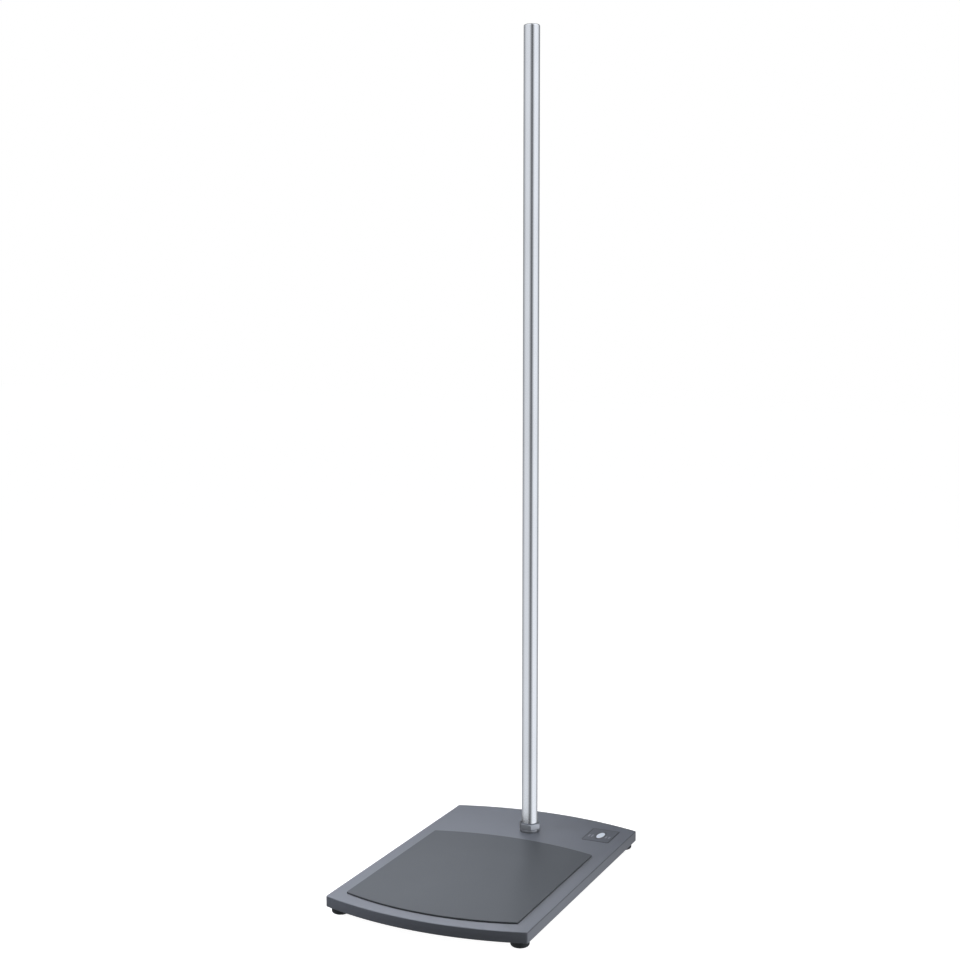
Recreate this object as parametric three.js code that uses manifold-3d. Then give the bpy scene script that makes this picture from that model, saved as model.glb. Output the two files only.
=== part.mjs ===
// Laboratory plate stand: a heavy base plate with bowed ends, an anti-slip mat, and a round support
// rod that screws into the plate and is locked with a thin nut. Millimetres, +Z up, origin on the
// supporting surface in the middle of the base. -Y is the front, where the work stands.

import * as THREE from 'three';
import { mergeVertices } from 'three/addons/utils/BufferGeometryUtils.js';
import Module from 'manifold-3d';

const wasm = await Module();
wasm.setup();

// Base plate: straight sides, and front and rear edges that bow outwards.
const PLATE_WIDTH = 200;
const PLATE_DEPTH = 316;
const PLATE_BOW = 16.5;
const PLATE_THICKNESS = 10;
const PLATE_CORNER = 1.2;
const PLATE_EDGE = 0.6;

// Rubber feet under the four corners.
const FOOT_HEIGHT = 6.5;
const FOOT_DIAMETER = 17;
const FOOT_TREAD_DIAMETER = 12.4;
const FOOT_X = 89;
const FOOT_Y = 133;
const FOOT_BORE = 4.6;
const FOOT_WELL = 9;
const FOOT_WELL_DEPTH = 4;

// Foot screws and the washers that the heads bear on.
const SCREW_DIAMETER = 4;
const SCREW_HEAD_DIAMETER = 7.6;
const SCREW_HEAD_HEIGHT = 2.2;
const SCREW_REACH = 6;
const SCREW_HEAD_CHAMFER = 0.8;
const SCREW_TIP_CHAMFER = 0.6;
const SCREW_RECESS = [0.9, 4.2, 1.3];
const SCREW_HOLE_DIAMETER = 4.6;
const SCREW_HOLE_DEPTH = 7;
const FOOT_WASHER_DIAMETER = 8.4;
const FOOT_WASHER_THICKNESS = 1;

// Anti-slip mat on its adhesive film, with the plate's bowed outline.
const MAT_HALF_WIDTH = 85.2;
const MAT_FRONT = -129.4;
const MAT_FRONT_BOW = 14.8;
const MAT_REAR = 53.3;
const MAT_REAR_BOW = 13.2;
const MAT_CORNER = 0.9;
const MAT_THICKNESS = 1.8;
const MAT_EDGE = 0.3;
const ADHESIVE_THICKNESS = 0.2;
const ADHESIVE_MARGIN = 0.6;

// Support rod: full diameter above the nut, with a threaded stud turned on its lower end.
const ROD_DIAMETER = 16;
const ROD_LENGTH = 800;
const ROD_Y = 99;
const ROD_TOP_RADIUS = 1.8;
const ROD_SHOULDER_CHAMFER = 0.6;
const STUD_DIAMETER = 11.7;
const STUD_CHAMFER = 1;
const STUD_END_GAP = 0.5;
const THREAD_CLEARANCE = 0.3;

// Lock nut and the split spring washer under it.
const NUT_ACROSS_FLATS = 19;
const NUT_HEIGHT = 6;
const NUT_CHAMFER_ANGLE = Math.PI / 6;
const NUT_FACE_RATIO = 0.97;
const NUT_CONE_MARGIN = 0.5;
const WASHER_OUTER_DIAMETER = 20;
const WASHER_THICKNESS = 2.5;
const WASHER_EDGE = 0.25;
const WASHER_SPLIT = 1.6;
const WASHER_SPLIT_AZIMUTH = -12;
const WASHER_SPLIT_SLANT = 25;

// Rating label behind the rod, on the right.
const LABEL_SIZE = [29, 36];
const LABEL_CENTRE = [71.8, 113.7];
const LABEL_CORNER = 2.5;
const LABEL_THICKNESS = 0.2;

const SMOOTH = 48;
const SMALL = 28;

const plateBottom = FOOT_HEIGHT;
const plateTop = plateBottom + PLATE_THICKNESS;
const nutBottom = plateTop + WASHER_THICKNESS;
const rodBottom = nutBottom + NUT_HEIGHT;
const threadBore = STUD_DIAMETER / 2 + THREAD_CLEARANCE;

const finishes = {
  powderCoat: { color: 0x6b7079, roughness: 0.5, metalness: 0.3 },
  mat: { color: 0x4c5157, roughness: 0.7, metalness: 0 },
  adhesive: { color: 0xc9c9c4, roughness: 0.8, metalness: 0 },
  polishedSteel: { color: 0xd0d4d8, roughness: 0.18, metalness: 1 },
  nutSteel: { color: 0x8d9196, roughness: 0.3, metalness: 1 },
  rubber: { color: 0x14171a, roughness: 0.8, metalness: 0 },
  zincSteel: { color: 0xb4b8bc, roughness: 0.35, metalness: 1 },
  label: { color: 0x33383f, roughness: 0.4, metalness: 0 },
};

function meshOf(name, geometry, finish) {
  const mesh = new THREE.Mesh(geometry, new THREE.MeshStandardMaterial(finishes[finish]));
  mesh.name = name;
  return mesh;
}

function solidOf(geometry) {
  const bare = geometry.clone();
  bare.deleteAttribute('normal');
  bare.deleteAttribute('uv');
  const merged = mergeVertices(bare);
  return new wasm.Manifold(new wasm.Mesh({
    numProp: 3,
    vertProperties: new Float32Array(merged.attributes.position.array),
    triVerts: new Uint32Array(merged.index.array),
  }));
}

function geometryOf(solid) {
  const { vertProperties, triVerts } = solid.getMesh();
  const geometry = new THREE.BufferGeometry();
  geometry.setAttribute('position', new THREE.BufferAttribute(new Float32Array(vertProperties), 3));
  geometry.setIndex(new THREE.BufferAttribute(new Uint32Array(triVerts), 1));
  geometry.computeVertexNormals();
  return geometry;
}

// A solid of revolution about Z, from [radius, height] pairs running up the outside.
function turned(profile, segments) {
  const points = profile.map(([radius, height]) => new THREE.Vector2(radius, height));
  return new THREE.LatheGeometry(points, segments).rotateX(Math.PI / 2);
}

// A plain upright cylinder from one height to another.
function bar(radius, low, high, segments = SMALL) {
  return turned([[0, low], [radius, low], [radius, high], [0, high]], segments);
}

// A rounded edge: points on a quarter circle round (radius, height) centre, from one angle to another.
function quarter([radius, height], size, from, to, steps = 4) {
  const points = [];
  for (let step = 0; step <= steps; step += 1) {
    const angle = THREE.MathUtils.degToRad(from + (to - from) * step / steps);
    points.push([radius + size * Math.cos(angle), height + size * Math.sin(angle)]);
  }
  return points;
}

// An outline with straight sides and bowed ends, its four corners rounded.
// front and rear are the heights of the corner points before rounding.
function bowedOutline(halfWidth, front, frontBow, rear, rearBow, corner) {
  const shape = new THREE.Shape();
  const bowRadius = (bow) => (halfWidth ** 2 + bow ** 2) / (2 * bow);
  const ends = [
    { side: 1, radius: bowRadius(rearBow), centre: rear + rearBow - bowRadius(rearBow) },
    { side: -1, radius: bowRadius(frontBow), centre: front - frontBow + bowRadius(frontBow) },
  ];
  for (const { side, radius, centre } of ends) {
    const reach = halfWidth - corner;
    const rise = Math.sqrt((radius - corner) ** 2 - reach ** 2);
    const lean = Math.atan2(rise, reach);
    const turn = side > 0 ? 0 : Math.PI;
    const cornerY = centre + side * rise;
    shape.absarc(side * reach, cornerY, corner, turn, turn + lean, false);
    shape.absarc(0, centre, radius, turn + lean, turn + Math.PI - lean, false);
    shape.absarc(-side * reach, cornerY, corner, turn + Math.PI - lean, turn + Math.PI, false);
  }
  return shape;
}

function slab(shape, bottom, thickness, edge = 0) {
  const geometry = new THREE.ExtrudeGeometry(shape, {
    depth: thickness - 2 * edge,
    curveSegments: 8,
    bevelEnabled: edge > 0,
    bevelThickness: edge,
    bevelSize: edge,
    bevelOffset: -edge,
    bevelSegments: 2,
  });
  return geometry.translate(0, 0, bottom + edge);
}

const footPlaces = [
  ['front_left', -FOOT_X, -FOOT_Y],
  ['front_right', FOOT_X, -FOOT_Y],
  ['rear_left', -FOOT_X, FOOT_Y],
  ['rear_right', FOOT_X, FOOT_Y],
];

function basePlate() {
  const corner = PLATE_DEPTH / 2 - PLATE_BOW;
  const outline = bowedOutline(PLATE_WIDTH / 2, -corner, PLATE_BOW, corner, PLATE_BOW, PLATE_CORNER);
  let plate = solidOf(slab(outline, plateBottom, PLATE_THICKNESS, PLATE_EDGE));
  const tapped = bar(threadBore, plateBottom - 1, plateTop + 1, SMOOTH).translate(0, ROD_Y, 0);
  plate = plate.subtract(solidOf(tapped));
  for (const [, x, y] of footPlaces) {
    const hole = bar(SCREW_HOLE_DIAMETER / 2, plateBottom - 1, plateBottom + SCREW_HOLE_DEPTH);
    plate = plate.subtract(solidOf(hole.translate(x, y, 0)));
  }
  return meshOf('base_plate', geometryOf(plate), 'powderCoat');
}

function matPieces() {
  const inset = (margin) => bowedOutline(MAT_HALF_WIDTH - margin, MAT_FRONT + margin, MAT_FRONT_BOW,
    MAT_REAR - margin, MAT_REAR_BOW, MAT_CORNER);
  const film = slab(inset(ADHESIVE_MARGIN), plateTop, ADHESIVE_THICKNESS);
  const mat = slab(inset(0), plateTop + ADHESIVE_THICKNESS, MAT_THICKNESS, MAT_EDGE);
  return [meshOf('mat_adhesive', film, 'adhesive'), meshOf('anti_slip_mat', mat, 'mat')];
}

// The rod and its stud are one turned bar: the thread is drawn as a plain shank at its mean size.
function supportRod() {
  const radius = ROD_DIAMETER / 2;
  const stud = STUD_DIAMETER / 2;
  const studEnd = plateBottom + STUD_END_GAP;
  const top = rodBottom + ROD_LENGTH;
  const profile = [
    [0, studEnd],
    [stud - STUD_CHAMFER, studEnd],
    [stud, studEnd + STUD_CHAMFER],
    [stud, rodBottom],
    [radius - ROD_SHOULDER_CHAMFER, rodBottom],
    [radius, rodBottom + ROD_SHOULDER_CHAMFER],
    ...quarter([radius - ROD_TOP_RADIUS, top - ROD_TOP_RADIUS], ROD_TOP_RADIUS, 0, 90),
    [0, top],
  ];
  const rod = meshOf('support_rod', turned(profile, SMOOTH), 'polishedSteel');
  rod.position.y = ROD_Y;
  return rod;
}

// Hexagon with a corner on the X axis, chamfered at both faces, bored through.
function lockNut() {
  const corner = NUT_ACROSS_FLATS / Math.sqrt(3);
  const face = NUT_ACROSS_FLATS / 2 * NUT_FACE_RATIO;
  const reach = corner + NUT_CONE_MARGIN;
  const drop = (reach - face) * Math.tan(NUT_CHAMFER_ANGLE);
  const top = nutBottom + NUT_HEIGHT;
  const prism = new THREE.CylinderGeometry(corner, corner, NUT_HEIGHT, 6);
  prism.rotateX(Math.PI / 2).rotateZ(Math.PI / 2).translate(0, 0, nutBottom + NUT_HEIGHT / 2);
  const chamfers = turned([
    [0, nutBottom],
    [face, nutBottom],
    [reach, nutBottom + drop],
    [reach, top - drop],
    [face, top],
    [0, top],
  ], SMOOTH);
  const bore = bar(threadBore, nutBottom - 1, top + 1, SMOOTH);
  const nut = solidOf(prism).intersect(solidOf(chamfers)).subtract(solidOf(bore));
  const mesh = meshOf('lock_nut', geometryOf(nut), 'nutSteel');
  mesh.position.y = ROD_Y;
  return mesh;
}

function lockWasher() {
  const outer = WASHER_OUTER_DIAMETER / 2;
  const low = plateTop;
  const high = plateTop + WASHER_THICKNESS;
  const ring = turned([
    [threadBore, low],
    [outer - WASHER_EDGE, low],
    [outer, low + WASHER_EDGE],
    [outer, high - WASHER_EDGE],
    [outer - WASHER_EDGE, high],
    [threadBore, high],
    [threadBore, low],
  ], SMOOTH);
  const split = new THREE.BoxGeometry(outer, WASHER_SPLIT, 3 * WASHER_THICKNESS);
  split.rotateX(THREE.MathUtils.degToRad(WASHER_SPLIT_SLANT));
  split.translate(outer, 0, (low + high) / 2);
  split.rotateZ(THREE.MathUtils.degToRad(WASHER_SPLIT_AZIMUTH));
  const mesh = meshOf('lock_washer', geometryOf(solidOf(ring).subtract(solidOf(split))), 'nutSteel');
  mesh.position.y = ROD_Y;
  return mesh;
}

function label() {
  const [width, depth] = LABEL_SIZE;
  const reachX = width / 2 - LABEL_CORNER;
  const reachY = depth / 2 - LABEL_CORNER;
  const corners = [[reachX, reachY], [-reachX, reachY], [-reachX, -reachY], [reachX, -reachY]];
  const shape = new THREE.Shape();
  corners.forEach(([x, y], index) => {
    const start = index * Math.PI / 2;
    shape.absarc(x, y, LABEL_CORNER, start, start + Math.PI / 2, false);
  });
  const mesh = meshOf('label', slab(shape, plateTop, LABEL_THICKNESS), 'label');
  mesh.position.set(LABEL_CENTRE[0], LABEL_CENTRE[1], 0);
  return mesh;
}

// One rubber foot with its washer and screw, standing on the supporting surface.
function footPieces([place, x, y]) {
  const radius = FOOT_DIAMETER / 2;
  const tread = FOOT_TREAD_DIAMETER / 2;
  const bevel = radius - tread;
  const foot = turned([
    [FOOT_WELL / 2, 0],
    ...quarter([tread, bevel], bevel, -90, 0),
    [radius, FOOT_HEIGHT],
    [FOOT_BORE / 2, FOOT_HEIGHT],
    [FOOT_BORE / 2, FOOT_WELL_DEPTH],
    [FOOT_WELL / 2, FOOT_WELL_DEPTH],
    [FOOT_WELL / 2, 0],
  ], SMALL);

  const washerLow = FOOT_WELL_DEPTH - FOOT_WASHER_THICKNESS;
  const washer = turned([
    [FOOT_BORE / 2, washerLow],
    [FOOT_WASHER_DIAMETER / 2, washerLow],
    [FOOT_WASHER_DIAMETER / 2, FOOT_WELL_DEPTH],
    [FOOT_BORE / 2, FOOT_WELL_DEPTH],
    [FOOT_BORE / 2, washerLow],
  ], SMALL);

  const head = SCREW_HEAD_DIAMETER / 2;
  const shank = SCREW_DIAMETER / 2;
  const headLow = washerLow - SCREW_HEAD_HEIGHT;
  const tip = plateBottom + SCREW_REACH;
  const blank = solidOf(turned([
    [0, headLow],
    [head - SCREW_HEAD_CHAMFER, headLow],
    [head, headLow + SCREW_HEAD_CHAMFER],
    [head, washerLow],
    [shank, washerLow],
    [shank, tip - SCREW_TIP_CHAMFER],
    [shank - SCREW_TIP_CHAMFER, tip],
    [0, tip],
  ], SMALL));
  const [slotWidth, slotLength, slotDepth] = SCREW_RECESS;
  const slot = new THREE.BoxGeometry(slotLength, slotWidth, 2 * slotDepth).translate(0, 0, headLow);
  const across = slot.clone().rotateZ(Math.PI / 2);
  const screw = geometryOf(blank.subtract(solidOf(slot).add(solidOf(across))));

  const group = new THREE.Group();
  group.position.set(x, y, 0);
  group.add(meshOf(`foot_${place}`, foot, 'rubber'));
  group.add(meshOf(`foot_washer_${place}`, washer, 'zincSteel'));
  group.add(meshOf(`foot_screw_${place}`, screw, 'zincSteel'));
  return group;
}

const stand = new THREE.Group();
stand.add(basePlate(), ...matPieces(), label(), lockWasher(), lockNut(), supportRod());
stand.add(...footPlaces.map(footPieces));

export default stand;
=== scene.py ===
"""Visual model of a laboratory plate stand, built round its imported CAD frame.

A powder coated steel base plate with bowed ends carries an anti-slip mat, a rating label and four rubber
feet. A polished support rod screws into the plate behind the mat and is locked with a slim hexagon nut and
a spring washer. All lengths are in metres, and each piece's place is in its mesh.
"""

import logging
import math
from collections.abc import Iterable
from dataclasses import dataclass, field
from enum import Enum
from typing import ClassVar

import bmesh
import bpy
from mathutils import Euler, Matrix, Vector


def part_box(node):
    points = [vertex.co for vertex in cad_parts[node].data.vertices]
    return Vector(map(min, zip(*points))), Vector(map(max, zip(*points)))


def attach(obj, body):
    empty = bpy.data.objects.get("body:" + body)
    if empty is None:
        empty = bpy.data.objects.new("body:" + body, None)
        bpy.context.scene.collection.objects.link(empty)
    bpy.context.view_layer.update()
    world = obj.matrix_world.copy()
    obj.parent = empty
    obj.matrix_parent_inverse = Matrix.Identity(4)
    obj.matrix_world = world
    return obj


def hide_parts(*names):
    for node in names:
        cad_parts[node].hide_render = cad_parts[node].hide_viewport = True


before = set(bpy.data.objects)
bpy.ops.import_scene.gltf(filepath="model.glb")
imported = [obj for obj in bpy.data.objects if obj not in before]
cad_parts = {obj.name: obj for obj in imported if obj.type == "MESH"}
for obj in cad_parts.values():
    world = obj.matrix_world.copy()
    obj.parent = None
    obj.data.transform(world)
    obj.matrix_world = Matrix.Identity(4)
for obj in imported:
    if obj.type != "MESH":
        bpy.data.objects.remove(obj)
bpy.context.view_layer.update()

MM = 0.001
WELD = 1e-7
FULL_TURN = 360.0
UPRIGHT = (0.0, 0.0, 1.0)
NO_STEP = (0.0, 0.0, 0.0)
LOG = logging.getLogger("plate_stand")

Colour = tuple[float, float, float]
Stretch = tuple[float, float, float]
Point = tuple[float, float]

WHITE: Colour = (1.0, 1.0, 1.0)
BLACK: Colour = (0.0, 0.0, 0.0)


class Cut(Enum):
    """What a boolean modifier does with its cutter."""

    DIFFERENCE = "DIFFERENCE"
    INTERSECT = "INTERSECT"


class Corner(Enum):
    """The four corners of the base, as signs of X and Y."""

    FRONT_LEFT = (-1, -1)
    FRONT_RIGHT = (1, -1)
    REAR_LEFT = (-1, 1)
    REAR_RIGHT = (1, 1)

    @property
    def place(self) -> str:
        """The corner's name as the nodes write it."""
        return self.name.lower()


# ---------------------------------------------------------------------------------------------------------
# Shader graphs


class Value:
    """An output socket of a node graph, on which arithmetic adds Math nodes."""

    def __init__(self, graph: "Graph", socket: bpy.types.NodeSocket) -> None:
        """Wraps one output socket of a graph."""
        self.graph = graph
        self.socket = socket

    def _math(self, operation: str, *operands: "Value | float") -> "Value":
        """Adds one Math node.

        Args:
            operation: The Math node's operation.
            operands: Its inputs in order, as values or numbers.

        Returns:
            The node's result.
        """
        inputs = dict(enumerate(operands))
        return self.graph.add("ShaderNodeMath", {"operation": operation}, inputs)

    def __add__(self, other: "Value | float") -> "Value":
        """Sum."""
        return self._math("ADD", self, other)

    __radd__ = __add__

    def __sub__(self, other: "Value | float") -> "Value":
        """Difference."""
        return self._math("SUBTRACT", self, other)

    def __rsub__(self, other: "Value | float") -> "Value":
        """Difference from a number."""
        return self._math("SUBTRACT", other, self)

    def __mul__(self, other: "Value | float") -> "Value":
        """Product."""
        return self._math("MULTIPLY", self, other)

    __rmul__ = __mul__

    def __truediv__(self, other: "Value | float") -> "Value":
        """Quotient."""
        return self._math("DIVIDE", self, other)

    def __pow__(self, other: "Value | float") -> "Value":
        """Power."""
        return self._math("POWER", self, other)

    def size(self) -> "Value":
        """Absolute value."""
        return self._math("ABSOLUTE", self)

    def larger(self, other: "Value | float") -> "Value":
        """The larger of two values."""
        return self._math("MAXIMUM", self, other)

    def smaller(self, other: "Value | float") -> "Value":
        """The smaller of two values."""
        return self._math("MINIMUM", self, other)

    def step(self, start: float, end: float) -> "Value":
        """A smooth rise from 0 to 1.

        Args:
            start: Where the rise begins.
            end: Where it is complete; below start, the step falls instead.

        Returns:
            0 before start, 1 after end and a smooth curve between.
        """
        settings = {"interpolation_type": "SMOOTHSTEP"}
        if start < end:
            ends = {"From Min": start, "From Max": end, "To Min": 0.0, "To Max": 1.0}
        else:
            ends = {"From Min": end, "From Max": start, "To Min": 1.0, "To Max": 0.0}
        return self.graph.add("ShaderNodeMapRange", settings, {"Value": self, **ends})


class Graph:
    """A node tree that is written as expressions."""

    def __init__(self, tree: bpy.types.NodeTree) -> None:
        """Empties the tree, ready for new nodes."""
        self.tree = tree
        tree.nodes.clear()

    def add(self, kind: str, settings: dict | None = None, inputs: dict | None = None,
            output: int | str = 0) -> Value:
        """Adds any node.

        Args:
            kind: The node's type.
            settings: Attributes of the node, set before its inputs.
            inputs: Values, colours, vectors or numbers for its sockets, by name or index.
            output: The output socket to return.

        Returns:
            That output, or the node's first one.
        """
        node = self.tree.nodes.new(kind)
        for name, setting in (settings or {}).items():
            setattr(node, name, setting)
        for name, value in (inputs or {}).items():
            if isinstance(value, Value):
                self.tree.links.new(value.socket, node.inputs[name])
            else:
                node.inputs[name].default_value = value
        return Value(self, node.outputs[output]) if node.outputs else Value(self, None)

    def position(self) -> Value:
        """The point on the piece, in metres."""
        return self.add("ShaderNodeTexCoord", output="Object")

    def axes(self, vector: Value) -> tuple[Value, Value, Value]:
        """Splits a vector into its three parts."""
        parts = self.add("ShaderNodeSeparateXYZ", inputs={"Vector": vector})
        outputs = parts.socket.node.outputs
        return tuple(Value(self, outputs[name]) for name in "XYZ")

    def placed(self, centre: Iterable[float] = (0.0, 0.0, 0.0), scale: Stretch = (1.0, 1.0, 1.0)) -> Value:
        """The point on the piece, counted from a centre and stretched.

        Args:
            centre: The pattern's centre, in metres.
            scale: How much each axis is stretched after centring.

        Returns:
            The moved and stretched point.
        """
        offset = self.add("ShaderNodeVectorMath", {"operation": "SUBTRACT"},
                          {0: self.position(), 1: tuple(centre)})
        return self.add("ShaderNodeVectorMath", {"operation": "MULTIPLY"}, {0: offset, 1: scale})

    def noise(self, cell: float, detail: float = 2.0, vector: Value | None = None) -> Value:
        """Smooth random variation from 0 to 1.

        Args:
            cell: The size of one blotch, in metres.
            detail: How many finer layers are added.
            vector: Where it is read, or the plain position.

        Returns:
            The noise value.
        """
        inputs = {"Vector": vector or self.position(), "Scale": 1.0 / cell, "Detail": detail}
        return self.add("ShaderNodeTexNoise", inputs=inputs)

    def blend(self, factor: "Value | float", first: "Value | Colour", second: "Value | Colour") -> Value:
        """Mixes two colours.

        Args:
            factor: 0 gives the first and 1 the second.
            first: A colour.
            second: Another colour.

        Returns:
            The mixed colour.
        """
        sockets = {0: factor, 6: first, 7: second}
        for index in (6, 7):
            if not isinstance(sockets[index], Value):
                sockets[index] = opaque(sockets[index])
        return self.add("ShaderNodeMix", {"data_type": "RGBA"}, sockets, output=2)

    def tinted(self, light: Value, colour: Colour) -> Value:
        """A colour scaled by a value, which may pass 1.

        Args:
            light: The value.
            colour: The colour at 1.

        Returns:
            The scaled colour.
        """
        return self.add("ShaderNodeVectorMath", {"operation": "SCALE"}, {0: colour, "Scale": light})

    def bump(self, height: Value, depth: float, under: Value | None = None) -> Value:
        """Turns a height into a surface normal.

        Args:
            height: Height from 0 to 1.
            depth: The real height of 1, in metres.
            under: A normal that this one is laid over.

        Returns:
            The bumped normal.
        """
        inputs = {"Height": height, "Distance": depth, "Strength": 1.0}
        if under is not None:
            inputs["Normal"] = under
        return self.add("ShaderNodeBump", inputs=inputs)


class Surface(Graph):
    """The graph of one principled material."""

    def __init__(self, name: str, **fixed: float | tuple) -> None:
        """Makes the material.

        Args:
            name: The material's name.
            fixed: Values that are the same all over, by socket name with underscores for spaces.
        """
        self.material = bpy.data.materials.new(name)
        self.material.use_nodes = True
        super().__init__(self.material.node_tree)
        self.shader = self.tree.nodes.new("ShaderNodeBsdfPrincipled")
        output = self.tree.nodes.new("ShaderNodeOutputMaterial")
        self.tree.links.new(self.shader.outputs[0], output.inputs["Surface"])
        for key, value in fixed.items():
            self.shader.inputs[key.replace("_", " ")].default_value = value

    def feed(self, **links: Value) -> bpy.types.Material:
        """Links what varies over the surface.

        Args:
            links: Values by socket name, with underscores for spaces.

        Returns:
            The finished material.
        """
        for key, value in links.items():
            self.tree.links.new(value.socket, self.shader.inputs[key.replace("_", " ")])
        return self.material


def opaque(colour: Colour) -> tuple[float, float, float, float]:
    """A colour with full alpha."""
    return (*colour, 1.0)


def scaled(colour: Colour, factor: float) -> Colour:
    """A colour made lighter or darker by a factor."""
    return tuple(factor * part for part in colour)


# ---------------------------------------------------------------------------------------------------------
# Finishes


@dataclass(frozen=True)
class PowderCoat:
    """Grey satin powder coat: a fine orange peel, and painted shade along the top arrises of the long sides,
    where the rounded arrises mirror dark surroundings.
    """

    colour: Colour = (0.136, 0.146, 0.170)
    # Colour of the painted shade along the top arrises of the long sides.
    thin: Colour = (0.045, 0.050, 0.060)
    roughness: float = 0.42
    peel: float = 1.1 * MM
    peel_depth: float = 0.006 * MM
    grain: float = 0.35 * MM
    grain_depth: float = 0.0022 * MM
    speckle_lift: float = 1.07
    cloud: float = 34 * MM
    arris_width: float = 1.1 * MM
    arris_wear: float = 0.85

    def build(self, high: Vector) -> bpy.types.Material:
        """Makes the material.

        Args:
            high: Highest corner of the plate.

        Returns:
            The material.
        """
        graph = Surface("powder_coat", Specular_IOR_Level=0.4, IOR=1.5)
        speckle = graph.noise(self.grain, 1.0)
        cloud = graph.noise(self.cloud, 3.0)
        x, _, z = graph.axes(graph.position())
        width = self.arris_width
        rim = (x.size() - (high.x - width)).step(0.0, width)
        ledge = (z - (high.z - width)).step(0.0, width)
        # Painted shade: the colour darkens towards the top arrises of the long sides.
        tone = graph.blend(rim * ledge * self.arris_wear, self.colour, self.thin)
        lighter = scaled(self.colour, self.speckle_lift)
        tone = graph.blend(speckle.step(0.55, 0.75) * 0.35, tone, lighter)
        rough = self.roughness + (cloud - 0.5) * 0.05 + (speckle - 0.5) * 0.08
        peel = graph.bump(graph.noise(self.peel, 1.5), self.peel_depth)
        normal = graph.bump(speckle, self.grain_depth, peel)
        return graph.feed(Base_Color=tone, Roughness=rough, Normal=normal)


@dataclass(frozen=True)
class MatSheet:
    """Anti-slip sheet: grey and pebbled on top, its sides painted near black below the top as painted shade.
    """

    colour: Colour = (0.050, 0.056, 0.063)
    dust: Colour = (0.066, 0.072, 0.080)
    # Colour of the painted shade on the mat's sides below the top.
    core: Colour = (0.008, 0.010, 0.013)
    skin_depth: float = 0.25 * MM
    skin_fade: float = 0.05 * MM
    patch: float = 45 * MM
    speck: float = 0.5 * MM
    roughness: float = 0.5
    pebble: float = 0.55 * MM
    pebble_depth: float = 0.012 * MM

    def build(self, top: float) -> bpy.types.Material:
        """Makes the material.

        Args:
            top: Height of the mat's upper face.

        Returns:
            The material.
        """
        graph = Surface("anti_slip_sheet", Specular_IOR_Level=0.38)
        cells = graph.add("ShaderNodeTexVoronoi", {"feature": "SMOOTH_F1"},
                          {"Vector": graph.position(), "Scale": 1.0 / self.pebble, "Smoothness": 0.6})
        patches = graph.noise(self.patch, 3.0)
        specks = graph.noise(self.speck)
        tone = graph.blend(specks.step(0.58, 0.72) * 0.3 + patches.step(0.4, 0.8) * 0.12,
                           self.colour, self.dust)
        _, _, z = graph.axes(graph.position())
        # Painted shade: below the top the sides turn near black.
        below = (z - (top - self.skin_depth)).step(self.skin_fade, -self.skin_fade)
        tone = graph.blend(below, tone, self.core)
        rough = self.roughness + (patches - 0.5) * 0.06 + (specks - 0.5) * 0.08
        skin = graph.bump(1.0 - cells, self.pebble_depth)
        return graph.feed(Base_Color=tone, Roughness=rough, Normal=skin)


@dataclass(frozen=True)
class TurnedSteel:
    """Bright steel with fine marks that run round or along the piece.

    lengthwise is how far its sheen is drawn out along Z, as it is on a bar ground round its girth.
    """

    name: str
    colour: Colour = (0.74, 0.76, 0.79)
    roughness: float = 0.16
    mark: float = 0.5 * MM
    mark_depth: float = 0.00005 * MM
    stretch: Stretch = (0.04, 0.04, 1.0)
    film: float = 26 * MM
    smudge: float = 0.04
    lengthwise: float = 0.0

    def build(self) -> bpy.types.Material:
        """Makes the material."""
        graph = Surface(self.name, Metallic=1.0, Anisotropic=self.lengthwise, Anisotropic_Rotation=0.25)
        marks = graph.noise(self.mark, vector=graph.placed(scale=self.stretch))
        film = graph.noise(self.film, 4.0, graph.placed(scale=(1.0, 1.0, 0.35)))
        tone = graph.blend(film.step(0.45, 0.8) * 0.5, self.colour, scaled(self.colour, 0.9))
        rough = self.roughness + (film - 0.5) * self.smudge + (marks - 0.5) * 0.04
        return graph.feed(Base_Color=tone, Roughness=rough, Normal=graph.bump(marks, self.mark_depth))


@dataclass(frozen=True)
class MouldedRubber:
    """Black rubber with a soft mould texture and a dusty tread."""

    colour: Colour = (0.010, 0.012, 0.014)
    dust: Colour = (0.05, 0.05, 0.052)
    roughness: float = 0.62
    tread: float = 0.9 * MM
    speck: float = 0.4 * MM
    speck_depth: float = 0.01 * MM

    def build(self) -> bpy.types.Material:
        """Makes the material."""
        graph = Surface("moulded_rubber", Specular_IOR_Level=0.35)
        specks = graph.noise(self.speck)
        _, _, z = graph.axes(graph.position())
        worn = z.step(self.tread, 0.0) * 0.5 + specks.step(0.6, 0.8) * 0.12
        rough = self.roughness + (specks - 0.5) * 0.15
        return graph.feed(Base_Color=graph.blend(worn, self.colour, self.dust), Roughness=rough,
                          Normal=graph.bump(specks, self.speck_depth))


@dataclass(frozen=True)
class AdhesiveFilm:
    """Thin greyish adhesive film between the mat and the plate."""

    colour: Colour = (0.08, 0.085, 0.09)
    streak: float = 3 * MM
    streak_lift: float = 1.6

    def build(self) -> bpy.types.Material:
        """Makes the material."""
        graph = Surface("adhesive_film")
        streaks = graph.noise(self.streak, 3.0)
        tone = graph.blend(streaks.step(0.5, 0.8) * 0.5, self.colour, scaled(self.colour, self.streak_lift))
        return graph.feed(Base_Color=tone, Roughness=0.55 + streaks * 0.2)


@dataclass(frozen=True)
class BlockPair:
    """Two upright blank blocks side by side, placed from the label's middle."""

    across: float
    along: float
    half_x: float
    half_y: float
    pitch: float
    soft: float = 0.15 * MM

    def seen(self, x: Value, y: Value) -> Value:
        """Where the blocks are printed.

        Args:
            x: Distance across from the label's middle.
            y: Distance along from the label's middle.

        Returns:
            1 on the blocks and 0 off them.
        """
        beside = ((x - self.across).size() - self.pitch / 2).size() - self.half_x
        beyond = (y - self.along).size() - self.half_y
        return beside.larger(beyond).step(self.soft, -self.soft)


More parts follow.
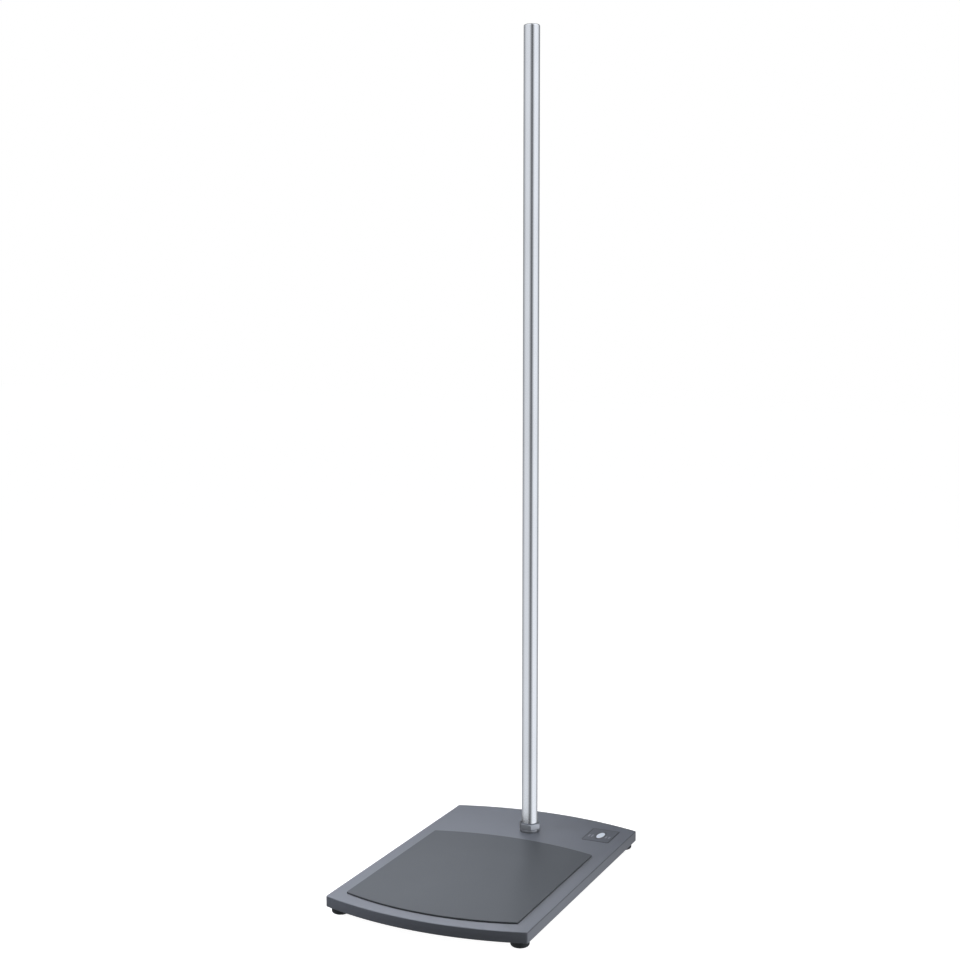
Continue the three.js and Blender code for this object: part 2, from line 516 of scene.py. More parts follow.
@dataclass(frozen=True)
class PrintedLabel:
    """Dark satin film printed with a plain border, a pale badge and a few rows of blank blocks."""

    film: Colour = (0.092, 0.100, 0.118)
    border: Colour = (0.030, 0.034, 0.042)
    pale: Colour = (0.80, 0.86, 0.93)
    grey: Colour = (0.30, 0.32, 0.36)
    shade: Colour = (0.045, 0.050, 0.060)
    border_width: float = 1.3 * MM
    border_soft: float = 0.2 * MM
    badge: Point = (3.6 * MM, 8.2 * MM)
    left_blocks: BlockPair = BlockPair(-9.0 * MM, -4.0 * MM, 0.7 * MM, 3.4 * MM, 3.2 * MM)
    right_blocks: BlockPair = BlockPair(8.6 * MM, -3.0 * MM, 0.8 * MM, 2.6 * MM, 3.4 * MM)
    fibre: float = 0.3 * MM
    fibre_depth: float = 0.002 * MM

    def build(self, centre: Vector, size: Point) -> bpy.types.Material:
        """Makes the material.

        Args:
            centre: Middle of the label.
            size: Width along X and depth along Y.

        Returns:
            The material.
        """
        graph = Surface("printed_label", Specular_IOR_Level=0.5)
        x, y, _ = graph.axes(graph.placed(centre))
        half_x, half_y = size[0] / 2, size[1] / 2
        inner_x, inner_y = half_x - self.border_width, half_y - self.border_width
        outside = (x.size() - inner_x).larger(y.size() - inner_y)
        tone = graph.blend(outside.step(-self.border_soft, self.border_soft), self.film, self.border)
        oval = ((x / self.badge[0]) ** 2.0 + (y / self.badge[1]) ** 2.0) ** 0.5
        tone = graph.blend(oval.step(1.6, 1.25) * 0.8, tone, self.shade)
        blocks = self.left_blocks.seen(x, y).larger(self.right_blocks.seen(x, y))
        tone = graph.blend(blocks * 0.8, tone, self.grey)
        tone = graph.blend(oval.step(1.05, 0.95), tone, self.pale)
        fibre = graph.noise(self.fibre)
        return graph.feed(Base_Color=tone, Roughness=0.36 + (fibre - 0.5) * 0.1,
                          Normal=graph.bump(fibre, self.fibre_depth))


# ---------------------------------------------------------------------------------------------------------
# Mesh making


def piece(name: str, mesh: bmesh.types.BMesh, material: bpy.types.Material,
          body: str, nodes: Iterable[str], sharp: float = 35.0) -> bpy.types.Object:
    """Turns a finished bmesh into a piece of the stand.

    The pieces of the base don't show in mirror images, so that the rod mirrors the room alone.

    Args:
        name: The piece's name.
        mesh: Its shape, which is freed.
        material: Its material.
        body: The moving body that it rides on.
        nodes: CAD nodes that it stands for.
        sharp: Edges that turn by more than this many degrees stay crisp.

    Returns:
        The new object.
    """
    bmesh.ops.recalc_face_normals(mesh, faces=mesh.faces)
    open_edges = sum(1 for edge in mesh.edges if not edge.is_manifold)
    obj = bare_object(name, mesh)
    obj.data.shade_smooth()
    obj.data.set_sharp_from_angle(angle=math.radians(sharp))
    obj.data.materials.append(material)
    obj.visible_glossy = body != "base"
    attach(obj, body)
    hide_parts(*nodes)
    LOG.info("%s: %d faces, %d open edges", name, len(obj.data.polygons), open_edges)
    return obj


def bare_object(name: str, mesh: bmesh.types.BMesh) -> bpy.types.Object:
    """Puts a bmesh into a new object at the origin and frees it."""
    data = bpy.data.meshes.new(name)
    mesh.to_mesh(data)
    mesh.free()
    obj = bpy.data.objects.new(name, data)
    bpy.context.scene.collection.objects.link(obj)
    return obj


def cut(target: bmesh.types.BMesh, cutter: bmesh.types.BMesh, how: Cut) -> bmesh.types.BMesh:
    """Joins or cuts two closed shapes.

    Args:
        target: The shape that is kept, which is freed.
        cutter: The other shape, which is freed.
        how: What is done with the cutter.

    Returns:
        The result, with loose duplicates merged.
    """
    bmesh.ops.recalc_face_normals(target, faces=target.faces)
    bmesh.ops.recalc_face_normals(cutter, faces=cutter.faces)
    kept = bare_object("kept", target)
    tool = bare_object("tool", cutter)
    modifier = kept.modifiers.new("cut", "BOOLEAN")
    modifier.operation = how.value
    modifier.solver = "EXACT"
    modifier.object = tool
    evaluated = kept.evaluated_get(bpy.context.evaluated_depsgraph_get())
    result = bmesh.new()
    result.from_mesh(evaluated.to_mesh())
    evaluated.to_mesh_clear()
    for obj in (kept, tool):
        data = obj.data
        bpy.data.objects.remove(obj)
        bpy.data.meshes.remove(data)
    bmesh.ops.remove_doubles(result, verts=result.verts, dist=WELD)
    return result


def arc(centre: Point, radius: float, start: float, end: float, steps: int = 6) -> list[Point]:
    """Points on an arc.

    Args:
        centre: The arc's centre.
        radius: Its radius.
        start: First angle, in degrees.
        end: Last angle, in degrees.
        steps: How many stretches it has.

    Returns:
        The points, both ends among them.
    """
    points = []
    for index in range(steps + 1):
        angle = math.radians(start + (end - start) * index / steps)
        points.append((centre[0] + radius * math.cos(angle), centre[1] + radius * math.sin(angle)))
    return points


def turned(profile: Iterable[Point], centre: Vector, steps: int = 96, closed: bool = False
           ) -> bmesh.types.BMesh:
    """Spins a profile into a solid of revolution about an upright axis.

    Args:
        profile: Radius and height of each point; an open profile starts and ends on the axis.
        centre: A point on the axis.
        steps: How many facets go round.
        closed: Whether the profile closes on itself, as a ring's does.

    Returns:
        The solid.
    """
    mesh = bmesh.new()
    verts = [mesh.verts.new((centre.x + radius, centre.y, height)) for radius, height in profile]
    ends = zip(verts, verts[1:] + verts[:1]) if closed else zip(verts, verts[1:])
    edges = [mesh.edges.new(pair) for pair in ends]
    bmesh.ops.spin(mesh, geom=verts + edges, cent=(centre.x, centre.y, 0.0), axis=UPRIGHT,
                   dvec=NO_STEP, angle=math.tau, steps=steps, use_merge=True, use_duplicate=False)
    bmesh.ops.remove_doubles(mesh, verts=mesh.verts, dist=WELD)
    return mesh


def bevel(mesh: bmesh.types.BMesh, edges: Iterable[bmesh.types.BMEdge], width: float, steps: int) -> None:
    """Rounds some edges of a shape.

    Args:
        mesh: The shape.
        edges: The edges to round.
        width: How far the rounding reaches from the edge.
        steps: How many facets it has.
    """
    bmesh.ops.bevel(mesh, geom=list(edges), offset=width, offset_type="OFFSET", segments=steps,
                    profile=0.5, affect="EDGES", material=-1, clamp_overlap=True)


def is_rim(edge: bmesh.types.BMEdge) -> bool:
    """Whether an edge lies between a level face and an upright one."""
    tilts = sorted(abs(face.normal.z) for face in edge.link_faces)
    return len(tilts) == 2 and tilts[0] < 0.1 and tilts[1] > 0.9


@dataclass
class BowedSlab:
    """A flat slab with straight sides and ends that bow outwards."""

    half_width: float
    front: float
    front_bow: float
    rear: float
    rear_bow: float
    low: float
    high: float
    corner: float
    edge: float
    steps: int = 64

    def bow_at(self, x: float, bow: float) -> float:
        """How far an end stands out of its corners' line, on a circle through corners and apex."""
        radius = (self.half_width**2 + bow**2) / (2 * bow)
        return math.sqrt(radius**2 - x**2) - (radius - bow)

    def build(self) -> bmesh.types.BMesh:
        """Makes the slab, its upright corners and its level rims rounded."""
        mesh = bmesh.new()
        bmesh.ops.create_grid(mesh, x_segments=1, y_segments=1, size=1.0)
        ends = [edge for edge in mesh.edges if abs(sum(vert.co.y for vert in edge.verts)) > 1.0]
        bmesh.ops.subdivide_edges(mesh, edges=ends, cuts=self.steps - 1, use_grid_fill=True)
        for vert in mesh.verts:
            x = vert.co.x * self.half_width
            if vert.co.y > 0:
                y = self.rear + self.bow_at(x, self.rear_bow)
            else:
                y = self.front - self.bow_at(x, self.front_bow)
            vert.co = (x, y, self.low)
        bmesh.ops.recalc_face_normals(mesh, faces=mesh.faces)
        extruded = bmesh.ops.extrude_face_region(mesh, geom=list(mesh.faces))["geom"]
        raised = [item for item in extruded if isinstance(item, bmesh.types.BMVert)]
        bmesh.ops.translate(mesh, verts=raised, vec=(0, 0, self.high - self.low))
        bmesh.ops.recalc_face_normals(mesh, faces=mesh.faces)
        near = self.half_width - 1e-6
        uprights = [edge for edge in mesh.edges
                    if abs(edge.verts[0].co.z - edge.verts[1].co.z) > 1e-6
                    and all(abs(vert.co.x) > near for vert in edge.verts)]
        bevel(mesh, uprights, self.corner, 6)
        mesh.normal_update()
        bevel(mesh, [edge for edge in mesh.edges if is_rim(edge)], self.edge, 5)
        mesh.normal_update()
        for sign in (-1, 1):
            level = [face for face in mesh.faces if face.normal.z * sign > 0.999]
            bmesh.ops.inset_region(mesh, faces=level, thickness=self.edge * 0.3, use_even_offset=True)
            mesh.normal_update()
        return mesh


# ---------------------------------------------------------------------------------------------------------
# Sub-assemblies


def box_of(node: str) -> tuple[Vector, Vector]:
    """Lowest and highest corner of a CAD node, in metres."""
    low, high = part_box(node)
    return Vector(low), Vector(high)


@dataclass
class Base:
    """The steel plate with its mat, film and label."""

    bow: float = 16.5 * MM
    corner: float = 1.2 * MM
    edge: float = 0.6 * MM
    bore: float = 6.15 * MM
    bore_mouth: float = 0.5 * MM
    foot_hole: float = 2.3 * MM
    foot_hole_depth: float = 7.0 * MM
    mat_bows: Point = (14.8 * MM, 13.2 * MM)
    mat_corner: float = 0.9 * MM
    mat_edge: float = 0.3 * MM
    label_corner: float = 2.5 * MM
    label_rim: float = 0.08 * MM
    label_margin: float = 0.1 * MM
    coat: PowderCoat = field(default_factory=PowderCoat)
    sheet: MatSheet = field(default_factory=MatSheet)
    film: AdhesiveFilm = field(default_factory=AdhesiveFilm)
    print: PrintedLabel = field(default_factory=PrintedLabel)

    def plate(self) -> None:
        """The plate, with the tapped hole for the rod and four blind holes for the foot screws."""
        low, high = box_of("base_plate")
        slab = BowedSlab(high.x, low.y + self.bow, self.bow, high.y - self.bow, self.bow, low.z, high.z,
                         self.corner, self.edge)
        rod_low, rod_high = box_of("support_rod")
        mesh = cut(slab.build(), self._tapped_hole((rod_low + rod_high) / 2, low.z, high.z), Cut.DIFFERENCE)
        for corner in Corner:
            foot_low, foot_high = box_of(f"foot_{corner.place}")
            mesh = cut(mesh, self._blind_hole((foot_low + foot_high) / 2, low.z), Cut.DIFFERENCE)
        piece("plate", mesh, self.coat.build(high), "base", ["base_plate"])

    def _tapped_hole(self, centre: Vector, low: float, high: float) -> bmesh.types.BMesh:
        """A cutter for the rod's hole, with a small countersink at both ends."""
        over = 1.0 * MM
        mouth = self.bore_mouth
        return turned([
            (0, low - over), (self.bore + mouth + over, low - over), (self.bore, low + mouth),
            (self.bore, high - mouth), (self.bore + mouth + over, high + over), (0, high + over),
        ], centre, 64)

    def _blind_hole(self, centre: Vector, low: float) -> bmesh.types.BMesh:
        """A cutter for one foot screw's hole, with a drill point's cone at its end."""
        top = low + self.foot_hole_depth
        return turned([
            (0, low - MM), (self.foot_hole, low - MM), (self.foot_hole, top - self.foot_hole * 0.5), (0, top),
        ], centre, 32)

    def mat(self) -> None:
        """The anti-slip mat."""
        low, high = box_of("anti_slip_mat")
        front, rear = self.mat_bows
        slab = BowedSlab(high.x, low.y + front, front, high.y - rear, rear, low.z, high.z,
                         self.mat_corner, self.mat_edge)
        piece("mat", slab.build(), self.sheet.build(high.z), "base", ["anti_slip_mat"])

    def adhesive(self) -> None:
        """Dresses the film, a fine line under the mat, and keeps it out of mirror images like the mat."""
        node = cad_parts["mat_adhesive"]
        node.data.materials.clear()
        node.data.materials.append(self.film.build())
        node.visible_glossy = False

    def label(self) -> None:
        """The rating label, its upper rim rolled over a little."""
        low, high = box_of("label")
        size = high - low
        centre = (low + high) / 2
        mesh = bmesh.new()
        bmesh.ops.create_cube(mesh, size=1.0)
        bmesh.ops.scale(mesh, vec=size, verts=mesh.verts)
        bmesh.ops.translate(mesh, vec=centre, verts=mesh.verts)
        uprights = [edge for edge in mesh.edges if abs(edge.verts[0].co.z - edge.verts[1].co.z) > 1e-6]
        bevel(mesh, uprights, self.label_corner, 8)
        mesh.normal_update()
        rims = [edge for edge in mesh.edges if is_rim(edge) and edge.verts[0].co.z > centre.z]
        bevel(mesh, rims, self.label_rim, 2)
        mesh.normal_update()
        level = [face for face in mesh.faces if face.normal.z > 0.999]
        bmesh.ops.inset_region(mesh, faces=level, thickness=self.label_margin, use_even_offset=True)
        material = self.print.build(centre, (size.x, size.y))
        piece("rating_label", mesh, material, "base", ["label"])

    def build(self) -> None:
        """Makes the plate and what is stuck to it."""
        self.plate()
        self.mat()
        self.adhesive()
        self.label()


@dataclass
class RodFitting:
    """The support rod with its threaded stud, lock nut and spring washer."""

    top_radius: float = 1.8 * MM
    shoulder: float = 0.6 * MM
    pitch: float = 1.75 * MM
    crest: float = 5.93 * MM
    root: float = 4.95 * MM
    thread_steps: int = 48
    stud_chamfer: float = 1.1 * MM
    nut_flats: float = 19.0 * MM
    nut_bore: float = 6.1 * MM
    nut_mouth: float = 0.6 * MM
    nut_face: float = 0.97
    nut_slope: float = 30.0
    washer_bore: float = 6.2 * MM
    washer_edge: float = 0.3 * MM
    split: float = 1.6 * MM
    split_azimuth: float = -12.0
    split_slant: float = 25.0
    rod_steel: TurnedSteel = TurnedSteel("polished_steel", roughness=0.22, lengthwise=0.95)
    stud_steel: TurnedSteel = TurnedSteel("thread_steel", (0.55, 0.57, 0.6), 0.28)
    nut_steel: TurnedSteel = TurnedSteel("nut_steel", (0.46, 0.48, 0.52), 0.50, 0.2 * MM, 0.002 * MM,
                                         (1.0, 1.0, 0.3))

    def __post_init__(self) -> None:
        """Reads where the rod, nut and washer stand."""
        self.rod_low, self.rod_high = box_of("support_rod")
        self.nut_low, self.nut_high = box_of("lock_nut")
        self.washer_low, self.washer_high = box_of("lock_washer")
        self.centre = (self.rod_low + self.rod_high) / 2

    def rod(self) -> None:
        """The plain bar above the nut."""
        radius = (self.rod_high.x - self.rod_low.x) / 2
        low, high = self.nut_high.z, self.rod_high.z
        round_top = arc((radius - self.top_radius, high - self.top_radius), self.top_radius, 0, 90, 8)
        profile = [(0, low), (radius - self.shoulder, low), (radius, low + self.shoulder), *round_top,
                   (0, high)]
        mesh = turned(profile, self.centre, 128)
        piece("rod_bar", mesh, self.rod_steel.build(), "rod", ["support_rod"])

    def stud(self) -> None:
        """The threaded stud under the bar, which screws through nut, washer and plate."""
        low, high = self.rod_low.z, self.nut_high.z
        turns = math.ceil((high - low) / self.pitch) + 2
        flat = self.pitch / 8
        mesh = bmesh.new()
        profile = [(self.root, 0.0), (self.root, flat), (self.crest, self.pitch / 2 - flat / 2),
                   (self.crest, self.pitch / 2 + flat / 2), (self.root, self.pitch - flat),
                   (self.root, self.pitch)]
        start = low - self.pitch
        verts = [mesh.verts.new((self.centre.x + radius, self.centre.y, start + height))
                 for radius, height in profile]
        edges = [mesh.edges.new(pair) for pair in zip(verts, verts[1:])]
        bmesh.ops.spin(mesh, geom=verts + edges, cent=(self.centre.x, self.centre.y, 0.0),
                       axis=UPRIGHT, dvec=(0, 0, self.pitch / self.thread_steps),
                       angle=math.tau * turns, steps=self.thread_steps * turns, use_merge=False,
                       use_duplicate=False)
        bmesh.ops.remove_doubles(mesh, verts=mesh.verts, dist=1e-6)
        for height, side in ((low - 0.2 * MM, -1), (high + 0.2 * MM, 1)):
            bmesh.ops.bisect_plane(mesh, geom=[*mesh.verts, *mesh.edges, *mesh.faces], dist=1e-8,
                                   plane_co=(0, 0, height), plane_no=(0, 0, side), clear_outer=True)
            rim = [edge for edge in mesh.edges
                   if edge.is_boundary and all(abs(vert.co.z - height) < 1e-6 for vert in edge.verts)]
            bmesh.ops.contextual_create(mesh, geom=rim)
        blank = turned([(0, low), (self.crest - self.stud_chamfer, low),
                        (self.crest + 0.05 * MM, low + self.stud_chamfer), (self.crest + 0.05 * MM, high),
                        (0, high)], self.centre, 96)
        mesh = cut(mesh, blank, Cut.INTERSECT)
        piece("rod_thread", mesh, self.stud_steel.build(), "rod", ["support_rod"], 25)

    def nut(self) -> None:
        """The slim hexagon nut, chamfered at both faces."""
        low, high = self.nut_low.z, self.nut_high.z
        corner = self.nut_flats / math.sqrt(3)
        face = self.nut_flats / 2 * self.nut_face
        reach = corner + 0.5 * MM
        drop = (reach - face) * math.tan(math.radians(self.nut_slope))
        hexagon = bmesh.new()
        bmesh.ops.create_circle(hexagon, cap_ends=True, segments=6, radius=corner)
        bmesh.ops.rotate(hexagon, verts=hexagon.verts, cent=(0, 0, 0),
                         matrix=Matrix.Rotation(math.radians(30), 3, "Z"))
        bmesh.ops.translate(hexagon, verts=hexagon.verts, vec=(self.centre.x, self.centre.y, low))
        extruded = bmesh.ops.extrude_face_region(hexagon, geom=list(hexagon.faces))["geom"]
        raised = [item for item in extruded if isinstance(item, bmesh.types.BMVert)]
        bmesh.ops.translate(hexagon, verts=raised, vec=(0, 0, high - low))
        cone = turned([(0, low), (face, low), (reach, low + drop), (reach, high - drop), (face, high),
                       (0, high)], self.centre, 96)
        mesh = cut(hexagon, cone, Cut.INTERSECT)
        mouth = self.nut_mouth
        bore = turned([(0, low - MM), (self.nut_bore + mouth + MM, low - MM), (self.nut_bore, low + mouth),
                       (self.nut_bore, high - mouth), (self.nut_bore + mouth + MM, high + MM),
                       (0, high + MM)], self.centre, 64)
        mesh = cut(mesh, bore, Cut.DIFFERENCE)
        piece("hexagon_nut", mesh, self.nut_steel.build(), "rod", ["lock_nut"], 20)

    def washer(self) -> None:
        """The spring washer, a ring with one slanted split."""
        low, high = self.washer_low.z, self.washer_high.z
        outer = (self.washer_high.x - self.washer_low.x) / 2
        inner, edge = self.washer_bore, self.washer_edge
        mesh = bmesh.new()
        first = math.radians(self.split_azimuth) + self.split / outer / 2
        profile = [(inner, low), (outer, low), (outer, high), (inner, high)]
        verts = [mesh.verts.new((radius, 0.0, height)) for radius, height in profile]
        mesh.faces.new(verts)
        bmesh.ops.bevel(mesh, geom=list(mesh.verts), offset=edge, offset_type="OFFSET", segments=2,
                        profile=0.5, affect="VERTICES", material=-1)
        bmesh.ops.rotate(mesh, verts=mesh.verts, cent=(0, 0, 0), matrix=Matrix.Rotation(first, 3, "Z"))
        sweep = math.tau - self.split / outer
        bmesh.ops.spin(mesh, geom=[*mesh.verts, *mesh.edges, *mesh.faces], cent=(0, 0, 0),
                       axis=UPRIGHT, dvec=NO_STEP, angle=sweep, steps=72, use_merge=False,
                       use_duplicate=False)
        slant = math.tan(math.radians(self.split_slant)) / outer
        middle = (low + high) / 2
        for vert in mesh.verts:
            turn = Matrix.Rotation(slant * (vert.co.z - middle), 3, "Z")
            vert.co = turn @ vert.co
        bmesh.ops.translate(mesh, verts=mesh.verts, vec=(self.centre.x, self.centre.y, 0))
        piece("spring_washer", mesh, self.nut_steel.build(), "washer", ["lock_washer"])

    def build(self) -> None:
        """Makes the rod and what locks it."""
        self.rod()
        self.stud()
        self.nut()
        self.washer()


@dataclass
class Foot:
    """One rubber foot with the washer inside it and its screw."""

    corner: Corner
    rubber: bpy.types.Material
    zinc: bpy.types.Material
    tread: float = 6.2 * MM
    well: float = 4.5 * MM
    hole: float = 2.3 * MM
    seat: float = 4.0 * MM
    shank: float = 2.0 * MM
    recess: tuple[float, float, float] = (4.2 * MM, 0.9 * MM, 2.6 * MM)

    def __post_init__(self) -> None:
        """Reads where the foot stands."""
        self.low, self.high = box_of(f"foot_{self.corner.place}")
        self.centre = (self.low + self.high) / 2

    def button(self) -> None:
        """The rubber button, rounded from its side down to the tread."""
        radius = (self.high.x - self.low.x) / 2
        dome = radius - self.tread
        lip = 0.3 * MM
        profile = [
            (self.well + lip, 0.0), *arc((self.tread, dome), dome, -90, 0, 8),
            (radius, self.high.z - lip), (radius - lip, self.high.z), (self.hole, self.high.z),
            (self.hole, self.seat), (self.well, self.seat), (self.well, lip),
        ]
        mesh = turned(profile, self.centre, 72, closed=True)
        name = self.corner.place
        piece(f"rubber_foot_{name}", mesh, self.rubber, "base", [f"foot_{name}"], 50)

    def washer(self) -> None:
        """The steel washer that the screw's head bears on."""
        name = f"foot_washer_{self.corner.place}"
        low, high = box_of(name)
        outer = (high.x - low.x) / 2
        edge = 0.15 * MM
        profile = [(self.hole, low.z), (outer - edge, low.z), (outer, low.z + edge), (outer, high.z - edge),
                   (outer - edge, high.z), (self.hole, high.z)]
        mesh = turned(profile, self.centre, 48, closed=True)
        piece(f"steel_{name}", mesh, self.zinc, "base", [name])

    def screw(self) -> None:
        """The pan head screw, with a cross recess in its head."""
        name = f"foot_screw_{self.corner.place}"
        low, high = box_of(name)
        head = (high.x - low.x) / 2
        seat = self.seat - 1.0 * MM
        crown = 0.8 * MM
        profile = [(0, low.z), *arc((head - crown, low.z + crown), crown, -90, 0, 5), (head, seat),
                   (self.shank, seat), (self.shank, high.z - 0.6 * MM), (self.shank - 0.6 * MM, high.z),
                   (0, high.z)]
        mesh = turned(profile, self.centre, 48)
        for turn in (0, 90):
            slot = bmesh.new()
            bmesh.ops.create_cube(slot, size=1.0)
            bmesh.ops.scale(slot, vec=self.recess, verts=slot.verts)
            bmesh.ops.rotate(slot, verts=slot.verts, cent=(0, 0, 0),
                             matrix=Matrix.Rotation(math.radians(turn), 3, "Z"))
            bmesh.ops.translate(slot, verts=slot.verts, vec=(self.centre.x, self.centre.y, low.z))
            mesh = cut(mesh, slot, Cut.DIFFERENCE)
        piece(f"steel_{name}", mesh, self.zinc, "base", [name], 30)

    def build(self) -> None:
        """Makes the foot's three pieces."""
        self.button()
        self.washer()
        self.screw()


# ---------------------------------------------------------------------------------------------------------
# Studio


@dataclass
class SoftBox:
    """One rectangular area light that points at a target, and that the stand mirrors only if it says so.

    spared names pieces that the light doesn't reach at all.
    """

    name: str
    place: Vector
    size: Point
    power: float
    target: Vector = field(default_factory=lambda: Vector((0.0, -0.03, 0.02)))
    colour: Colour = WHITE
    mirrored: bool = False
    spared: tuple[str, ...] = ()

    def build(self) -> None:
        """Puts the light into the scene."""
        data = bpy.data.lights.new(self.name, "AREA")
        data.shape = "RECTANGLE"
        data.size, data.size_y = self.size
        data.energy = self.power
        data.color = self.colour
        obj = bpy.data.objects.new(self.name, data)
        obj.location = self.place
        obj.rotation_euler = (self.target - self.place).to_track_quat("-Z", "Y").to_euler()
        obj.visible_glossy = self.mirrored
        obj.visible_camera = False
        bpy.context.scene.collection.objects.link(obj)
        if self.spared:
            group = bpy.data.collections.new(f"{self.name}_spared")
            for name in self.spared:
                group.objects.link(bpy.data.objects[name])
            for member in group.collection_objects:
                member.light_linking.link_state = "EXCLUDE"
            obj.light_linking.receiver_collection = group


@dataclass(frozen=True)
class Screen:
    """A tall pale screen in the room that polished and satin surfaces mirror.

    bearing is counted in degrees to the right of the camera's side of the stand, and the screen fades out
    over fade degrees on both sides of half_width.
    """

    bearing: float
    half_width: float
    fade: float
    strength: float

    def seen(self, graph: Graph, ahead: Value, right: Value) -> Value:
        """How much of the screen a ray meets.

        Args:
            graph: The room's graph.
            ahead: The ray's level part towards the camera's side, on a unit circle.
            right: Its part to the right, on the same circle.

        Returns:
            The screen's light in that direction.
        """
        turn = math.radians(self.bearing)
        along = (ahead * math.cos(turn) + right * math.sin(turn)).smaller(1.0).larger(-1.0)
        away = graph.add("ShaderNodeMath", {"operation": "ARCCOSINE"}, {0: along}) * math.degrees(1.0)
        return away.step(self.half_width + self.fade, self.half_width - self.fade) * self.strength


@dataclass
class Room:
    """The world: white for the camera, screens for reflections and a plain sky for diffuse light.

    Each rise gives the upward parts of a direction between which one of the lights comes in.
    """

    azimuth: float
    walls: float = 0.13
    under: float = 0.09
    sky: float = 0.04
    lift: float = 0.4
    under_rise: Point = (0.05, -0.35)
    lift_rise: Point = (0.18, 0.50)
    sky_rise: Point = (-0.1, 0.9)
    tint: Colour = (0.97, 0.99, 1.03)
    screens: tuple[Screen, ...] = (
        Screen(-62.0, 45.0, 22.0, 0.72),
        Screen(70.0, 44.0, 22.0, 0.90),
        Screen(-128.0, 20.0, 14.0, 0.30),
        Screen(140.0, 20.0, 14.0, 0.17),
    )

    def build(self) -> None:
        """Makes the world."""
        world = bpy.data.worlds.new("room")
        bpy.context.scene.world = world
        world.use_nodes = True
        graph = Graph(world.node_tree)
        x, y, z = graph.axes(graph.add("ShaderNodeTexCoord", output="Generated"))
        turn = math.radians(self.azimuth)
        level = (x * x + y * y).larger(1e-6) ** 0.5
        ahead = (x * math.sin(turn) - y * math.cos(turn)) / level
        right = (x * math.cos(turn) + y * math.sin(turn)) / level
        mirrored = z.step(*self.under_rise) * self.under + self.walls
        higher = z.step(*self.lift_rise) * self.lift + 1.0
        for screen in self.screens:
            mirrored = mirrored + screen.seen(graph, ahead, right) * higher
        soft = z.step(*self.sky_rise) * self.sky
        glossy = graph.add("ShaderNodeLightPath", output="Is Glossy Ray")
        camera = graph.add("ShaderNodeLightPath", output="Is Camera Ray")
        light = soft + (mirrored - soft) * glossy
        colour = graph.blend(camera, graph.tinted(light, self.tint), WHITE)
        background = graph.add("ShaderNodeBackground", inputs={"Color": colour, "Strength": 1.0})
        graph.add("ShaderNodeOutputWorld", inputs={"Surface": background})


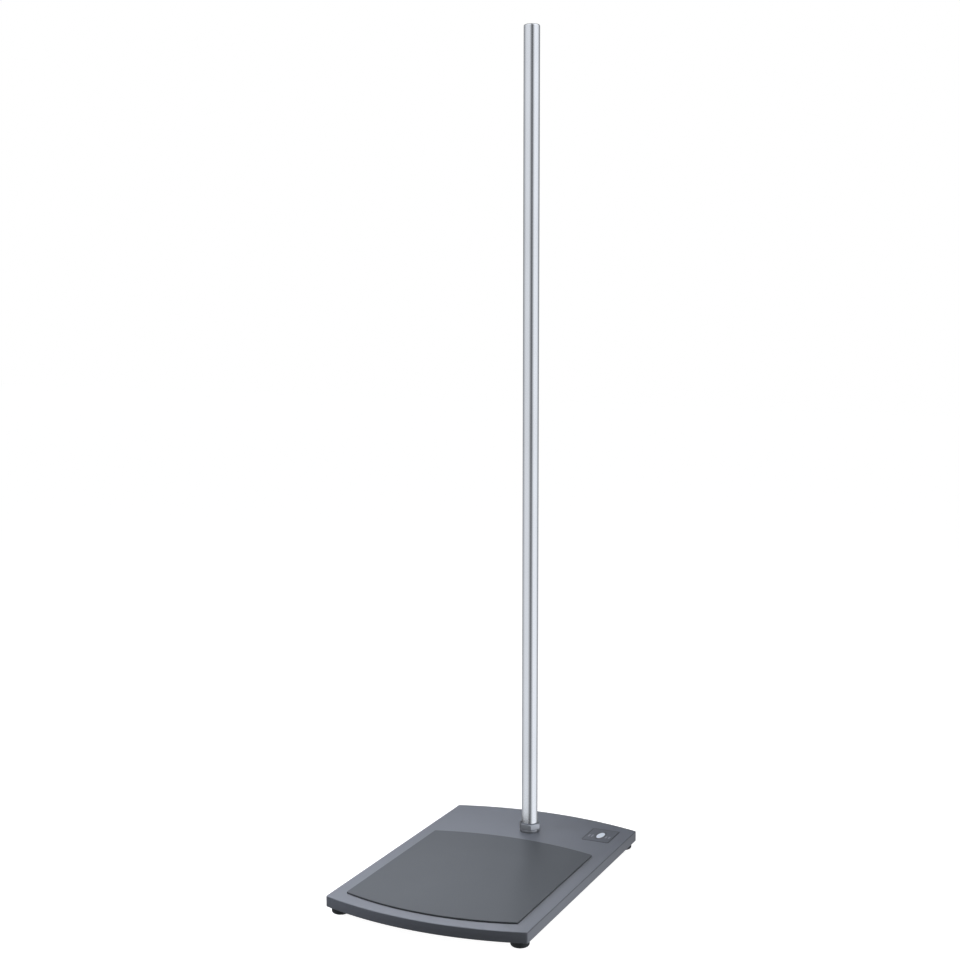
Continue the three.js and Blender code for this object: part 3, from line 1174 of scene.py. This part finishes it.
@dataclass
class Studio:
    """The pale floor, the room, the lights, the camera and the flag, a dim glowing card round the nut that
    paints a dark reflection into the nut's flats.

    flag_depth is how far the card lies under the plate's surface. It reaches to flag_foot all round, and to
    flag_reach over a sector whose start and sweep are flag_side, in degrees from the camera's side.
    """

    azimuth: float = 24.68
    pitch: float = 5.157
    lens: float = 59.713
    camera_place: Vector = field(default_factory=lambda: Vector((0.6157, -1.3623, 0.5682)))
    shift: float = -0.05
    floor_size: float = 12.0
    floor_colour: Colour = (0.4, 0.4, 0.4)
    floor_glow: float = 0.97
    flag_depth: float = 0.1 * MM
    flag_foot: float = 17.5 * MM
    flag_reach: float = 46.0 * MM
    flag_side: Point = (-140.0, 145.0)
    flag_glow: float = 0.04
    cool: ClassVar[Colour] = (0.94, 0.985, 1.09)
    boxes: tuple[SoftBox, ...] = (
        SoftBox("near_left_box", Vector((-0.42, -0.28, 0.34)), (0.25, 0.25), 1.5, colour=cool),
        SoftBox("rear_left_card", Vector((-0.53, 0.54, 0.52)), (0.80, 0.36), 3.0, colour=cool,
                mirrored=True, spared=("rod_bar", "rod_thread", "hexagon_nut", "spring_washer")),
        SoftBox("low_right_card", Vector((0.45, -0.09, 0.07)), (0.20, 0.08), 1.3),
        SoftBox("front_top_box", Vector((0.02, -0.20, 0.42)), (0.30, 0.20), 0.95,
                target=Vector((0.0, -0.12, 0.0))),
        SoftBox("rear_box", Vector((0.30, 1.60, 0.35)), (1.2, 0.5), 3.0),
        SoftBox("top_box", Vector((0.0, 0.2, 2.4)), (1.6, 1.6), 3.0),
    )

    def camera(self) -> None:
        """The camera, turned left of straight ahead and tipped down a little."""
        data = bpy.data.cameras.new("camera")
        data.lens = self.lens
        data.sensor_width = 36.0
        data.shift_y = self.shift
        obj = bpy.data.objects.new("camera", data)
        obj.location = self.camera_place
        obj.rotation_euler = Euler((math.radians(90 - self.pitch), 0, math.radians(self.azimuth)))
        bpy.context.scene.collection.objects.link(obj)
        bpy.context.scene.camera = obj

    def floor(self) -> None:
        """A plain white floor, lit from within so that it stays white under the stand."""
        mesh = bmesh.new()
        bmesh.ops.create_grid(mesh, x_segments=1, y_segments=1, size=self.floor_size / 2)
        obj = bare_object("floor", mesh)
        graph = Surface("floor", Base_Color=opaque(self.floor_colour), Roughness=0.9,
                        Specular_IOR_Level=0.1, Emission_Color=opaque(WHITE),
                        Emission_Strength=self.floor_glow)
        obj.data.materials.append(graph.material)
        obj.visible_glossy = False
        obj.visible_diffuse = False

    def flag(self) -> None:
        """A dim, faintly glowing card let into the plate round the nut, which mirror images alone can reach:
        a painted dark reflection in the nut's flats.

        It covers the washer's foot on every side and reaches further on the camera's left,
        where it paints the nut's flats dark.
        """
        low, high = box_of("support_rod")
        level = box_of("base_plate")[1].z - self.flag_depth
        middle = (low + high) / 2
        mesh = bmesh.new()
        middle.z = level
        for radius, start, sweep in ((self.flag_foot, 0.0, FULL_TURN), (self.flag_reach, *self.flag_side)):
            turn = math.radians(self.azimuth - 90.0 + start)
            inner = mesh.verts.new(middle)
            outer = mesh.verts.new(middle + radius * Vector((math.cos(turn), math.sin(turn), 0.0)))
            bmesh.ops.spin(mesh, geom=[inner, outer, mesh.edges.new((inner, outer))],
                           cent=middle, axis=UPRIGHT, dvec=NO_STEP,
                           angle=math.radians(sweep), steps=24, use_merge=sweep == FULL_TURN,
                           use_duplicate=False)
        obj = bare_object("flag", mesh)
        # Black with a faint glow: a painted dark reflection seen only in the nut and washer.
        graph = Surface("flag", Base_Color=opaque(BLACK), Roughness=1.0, Specular_IOR_Level=0.0,
                        Emission_Color=opaque(WHITE), Emission_Strength=self.flag_glow)
        obj.data.materials.append(graph.material)

    def build(self) -> None:
        """Makes the studio."""
        bpy.context.scene.view_settings.view_transform = "Standard"
        self.floor()
        self.flag()
        Room(self.azimuth).build()
        for box in self.boxes:
            box.build()


def main() -> None:
    """Builds the stand round its frame."""
    logging.basicConfig(level=logging.INFO, format="%(name)s: %(message)s")
    studio = Studio()
    studio.camera()
    Base().build()
    RodFitting().build()
    rubber = MouldedRubber().build()
    zinc = TurnedSteel("zinc_steel", (0.62, 0.64, 0.66), 0.3, 0.15 * MM, 0.001 * MM).build()
    for corner in Corner:
        Foot(corner, rubber, zinc).build()
    studio.build()


if __name__ == "__main__":
    main()
